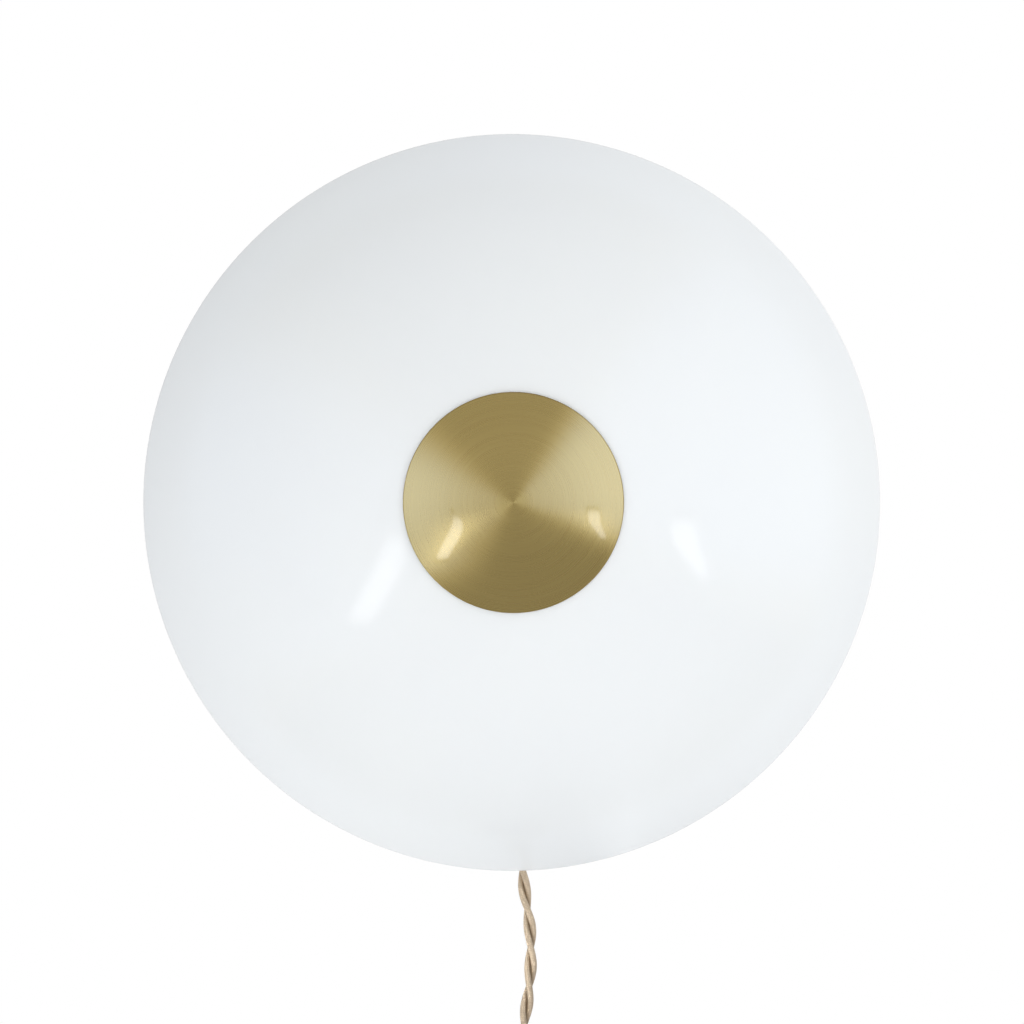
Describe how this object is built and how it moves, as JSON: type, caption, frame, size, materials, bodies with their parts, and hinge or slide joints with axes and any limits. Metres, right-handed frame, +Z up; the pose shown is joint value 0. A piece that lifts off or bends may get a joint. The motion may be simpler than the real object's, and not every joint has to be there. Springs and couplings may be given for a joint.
{
  "type": "wall lamp",
  "caption": "Round opal glass dish wall lamp with a domed brushed brass centre cap and a hanging cloth-covered twisted cord with switch and plug.",
  "frame": {"origin": "on the wall, midway between the two wall-screw holes, on the axis of the glass dish", "axes": "-Y out of the wall towards the room, +Z up, +X to the right seen from the room"},
  "size_m": [0.3499, 0.1204, 0.6535],
  "materials": {
    "opal_glass": "opal white, polished outside",
    "brushed_brass": "spun, fine circular brushing, clear lacquer",
    "turned_brass": "satin, turned",
    "zinc_steel": "zinc plated",
    "gasket_rubber": "matt",
    "porcelain": "glazed white",
    "nickel_shell": "bright",
    "bulb_glass": "frosted white",
    "lead_insulation": "smooth sleeve",
    "bushing_nylon": "matt",
    "cloth_cord": "beige cloth braid",
    "ivory_plastic": "moulded, semi-gloss",
    "tie_strap": "woven strap"
  },
  "bodies": {
    "root": {"centre_rod": "zinc_steel", "rod_nuts": "zinc_steel", "rod_washer": "zinc_steel", "spacer_tube": "turned_brass", "seat_washer": "turned_brass", "rear_gasket": "gasket_rubber", "socket_bracket": "zinc_steel", "canopy": "brushed_brass", "wall_plate": "zinc_steel", "canopy_screws": "turned_brass", "terminal_block": "porcelain", "terminal_screws": "zinc_steel", "wire_bushing": "bushing_nylon", "cord_grip": "turned_brass", "cord_grip_nut": "turned_brass", "cord_end_live": "cloth_cord", "cord_end_neutral": "cloth_cord", "cord_upper": "cloth_cord", "cord_lower": "cloth_cord", "cord_coil": "cloth_cord", "cord_tail": "cloth_cord", "cord_tie": "tie_strap", "switch_case_back": "ivory_plastic", "switch_case_front": "ivory_plastic", "switch_pin": "zinc_steel", "switch_contact": "turned_brass", "switch_leaf": "turned_brass", "switch_live_wires": "cloth_cord", "switch_neutral_wire": "cloth_cord", "switch_screws": "zinc_steel", "plug_cover": "ivory_plastic", "plug_base": "ivory_plastic", "plug_blade_live": "turned_brass", "plug_blade_neutral": "turned_brass", "plug_screws": "zinc_steel", "socket_nuts": "zinc_steel", "socket_left_body": "porcelain", "socket_left_shell": "nickel_shell", "socket_left_contact": "turned_brass", "bulb_left_globe": "bulb_glass", "bulb_left_base": "nickel_shell", "bulb_left_tip": "turned_brass", "bulb_left_stem": "bulb_glass", "lead_left_live": "lead_insulation", "lead_left_neutral": "lead_insulation", "socket_right_body": "porcelain", "socket_right_shell": "nickel_shell", "socket_right_contact": "turned_brass", "bulb_right_globe": "bulb_glass", "bulb_right_base": "nickel_shell", "bulb_right_tip": "turned_brass", "bulb_right_stem": "bulb_glass", "lead_right_live": "lead_insulation", "lead_right_neutral": "lead_insulation"},
    "shade": {"glass_shade": "opal_glass", "front_gasket": "gasket_rubber"},
    "cap": {"cap_dome": "brushed_brass", "cap_boss": "turned_brass"},
    "rocker": {"switch_rocker": "ivory_plastic"}
  },
  "joints": [
    {"name": "shade_travel", "type": "slide", "parent": "root", "child": "shade", "axis": [0, -1, 0], "range_m": [0, 0.0057]},
    {"name": "cap_unscrew", "type": "hinge", "parent": "shade", "child": "cap", "pos_m": [0, -0.115, 0], "axis": [0, -1, 0], "range_deg": [0, 2160]},
    {"name": "switch_rock", "type": "hinge", "parent": "root", "child": "rocker", "pos_m": [0.0054, -0.013, -0.284], "axis": [1, 0, 0], "range_deg": [0, 24]}
  ],
  "couplings": [
    {"joint": "shade_travel", "follows": "cap_unscrew", "m_per_rad": 0.00014961}
  ]
}
